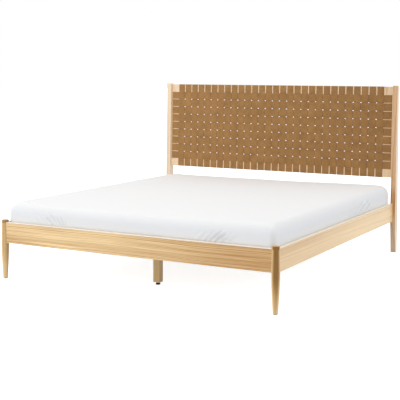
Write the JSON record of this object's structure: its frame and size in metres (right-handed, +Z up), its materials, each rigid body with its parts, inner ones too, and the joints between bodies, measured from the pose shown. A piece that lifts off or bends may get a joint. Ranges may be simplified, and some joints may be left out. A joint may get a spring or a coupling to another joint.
{
  "type": "platform bed",
  "caption": "Low double bed in pale wood with turned foot legs, a headboard panel woven from flat straps, slatted base, middle beam with levelling feet, and a mattress in a fitted sheet.",
  "frame": {"origin": "on the floor, in the middle of the bed's width and of its length", "axes": "+X to the right of someone standing at the foot and facing the headboard, +Y from the foot to the headboard, +Z up"},
  "size_m": [1.9, 2.108, 1.1972],
  "materials": {
    "frame_pine": "satin clear lacquer over pine, grain along each piece",
    "deck_pine": "planed, unfinished pine",
    "beech": "plain beech",
    "webbing": "tan woven webbing, matt",
    "tape": "off-white cotton tape",
    "zinc_steel": "bright zinc plate",
    "bracket_steel": "zinc plate, dull",
    "black_nylon": "black nylon",
    "felt": "brown felt",
    "ticking": "white knitted ticking",
    "cotton": "white cotton"
  },
  "bodies": {
    "bed": {"barrel_nuts": "zinc_steel", "beam_saddle_foot": "bracket_steel", "beam_saddle_head": "bracket_steel", "bracket_screws": "zinc_steel", "centre_beam": "deck_pine", "corner_bracket_left": "bracket_steel", "corner_bracket_right": "bracket_steel", "cross_straps": "webbing", "felt_glides": "felt", "fitted_sheet": "cotton", "foot_inserts": "zinc_steel", "foot_leg_left": "frame_pine", "foot_leg_right": "frame_pine", "foot_rail": "frame_pine", "head_post_left": "frame_pine", "head_post_right": "frame_pine", "head_rail": "frame_pine", "headboard_bottom_rail": "frame_pine", "headboard_dowels": "beech", "headboard_stile_left": "frame_pine", "headboard_stile_right": "frame_pine", "headboard_top_rail": "frame_pine", "ledge_screws": "zinc_steel", "leg_nuts": "zinc_steel", "leg_studs": "zinc_steel", "mattress": "ticking", "middle_leg_foot": "deck_pine", "middle_leg_head": "deck_pine", "middle_leg_studs": "zinc_steel", "rail_bolts": "zinc_steel", "saddle_screws": "zinc_steel", "side_rail_left": "frame_pine", "side_rail_right": "frame_pine", "slat_01": "deck_pine", "slat_02": "deck_pine", "slat_03": "deck_pine", "slat_04": "deck_pine", "slat_05": "deck_pine", "slat_06": "deck_pine", "slat_07": "deck_pine", "slat_08": "deck_pine", "slat_09": "deck_pine", "slat_10": "deck_pine", "slat_11": "deck_pine", "slat_12": "deck_pine", "slat_13": "deck_pine", "slat_14": "deck_pine", "slat_ledge_left": "deck_pine", "slat_ledge_right": "deck_pine", "slat_screws": "zinc_steel", "slat_tapes": "tape", "strap_spline_left": "beech", "strap_spline_right": "beech", "strap_staples": "zinc_steel", "upright_straps": "webbing"},
    "foot_pad_foot": {"levelling_pad_foot": "black_nylon"},
    "foot_screw_foot": {"levelling_screw_foot": "zinc_steel"},
    "foot_pad_head": {"levelling_pad_head": "black_nylon"},
    "foot_screw_head": {"levelling_screw_head": "zinc_steel"}
  },
  "joints": [
    {"name": "pad_slide_foot", "type": "slide", "parent": "bed", "child": "foot_pad_foot", "axis": [0, 0, -1], "range_m": [0, 0.01]},
    {"name": "screw_turn_foot", "type": "hinge", "parent": "foot_pad_foot", "child": "foot_screw_foot", "pos_m": [0, -0.713, 0.02], "axis": [0, 0, -1], "range_deg": [0, 2880]},
    {"name": "pad_slide_head", "type": "slide", "parent": "bed", "child": "foot_pad_head", "axis": [0, 0, -1], "range_m": [0, 0.01]},
    {"name": "screw_turn_head", "type": "hinge", "parent": "foot_pad_head", "child": "foot_screw_head", "pos_m": [0, 0.677, 0.02], "axis": [0, 0, -1], "range_deg": [0, 2880]}
  ],
  "couplings": [
    {"joint": "pad_slide_foot", "follows": "screw_turn_foot", "m_per_rad": 0.00019894},
    {"joint": "pad_slide_head", "follows": "screw_turn_head", "m_per_rad": 0.00019894}
  ]
}
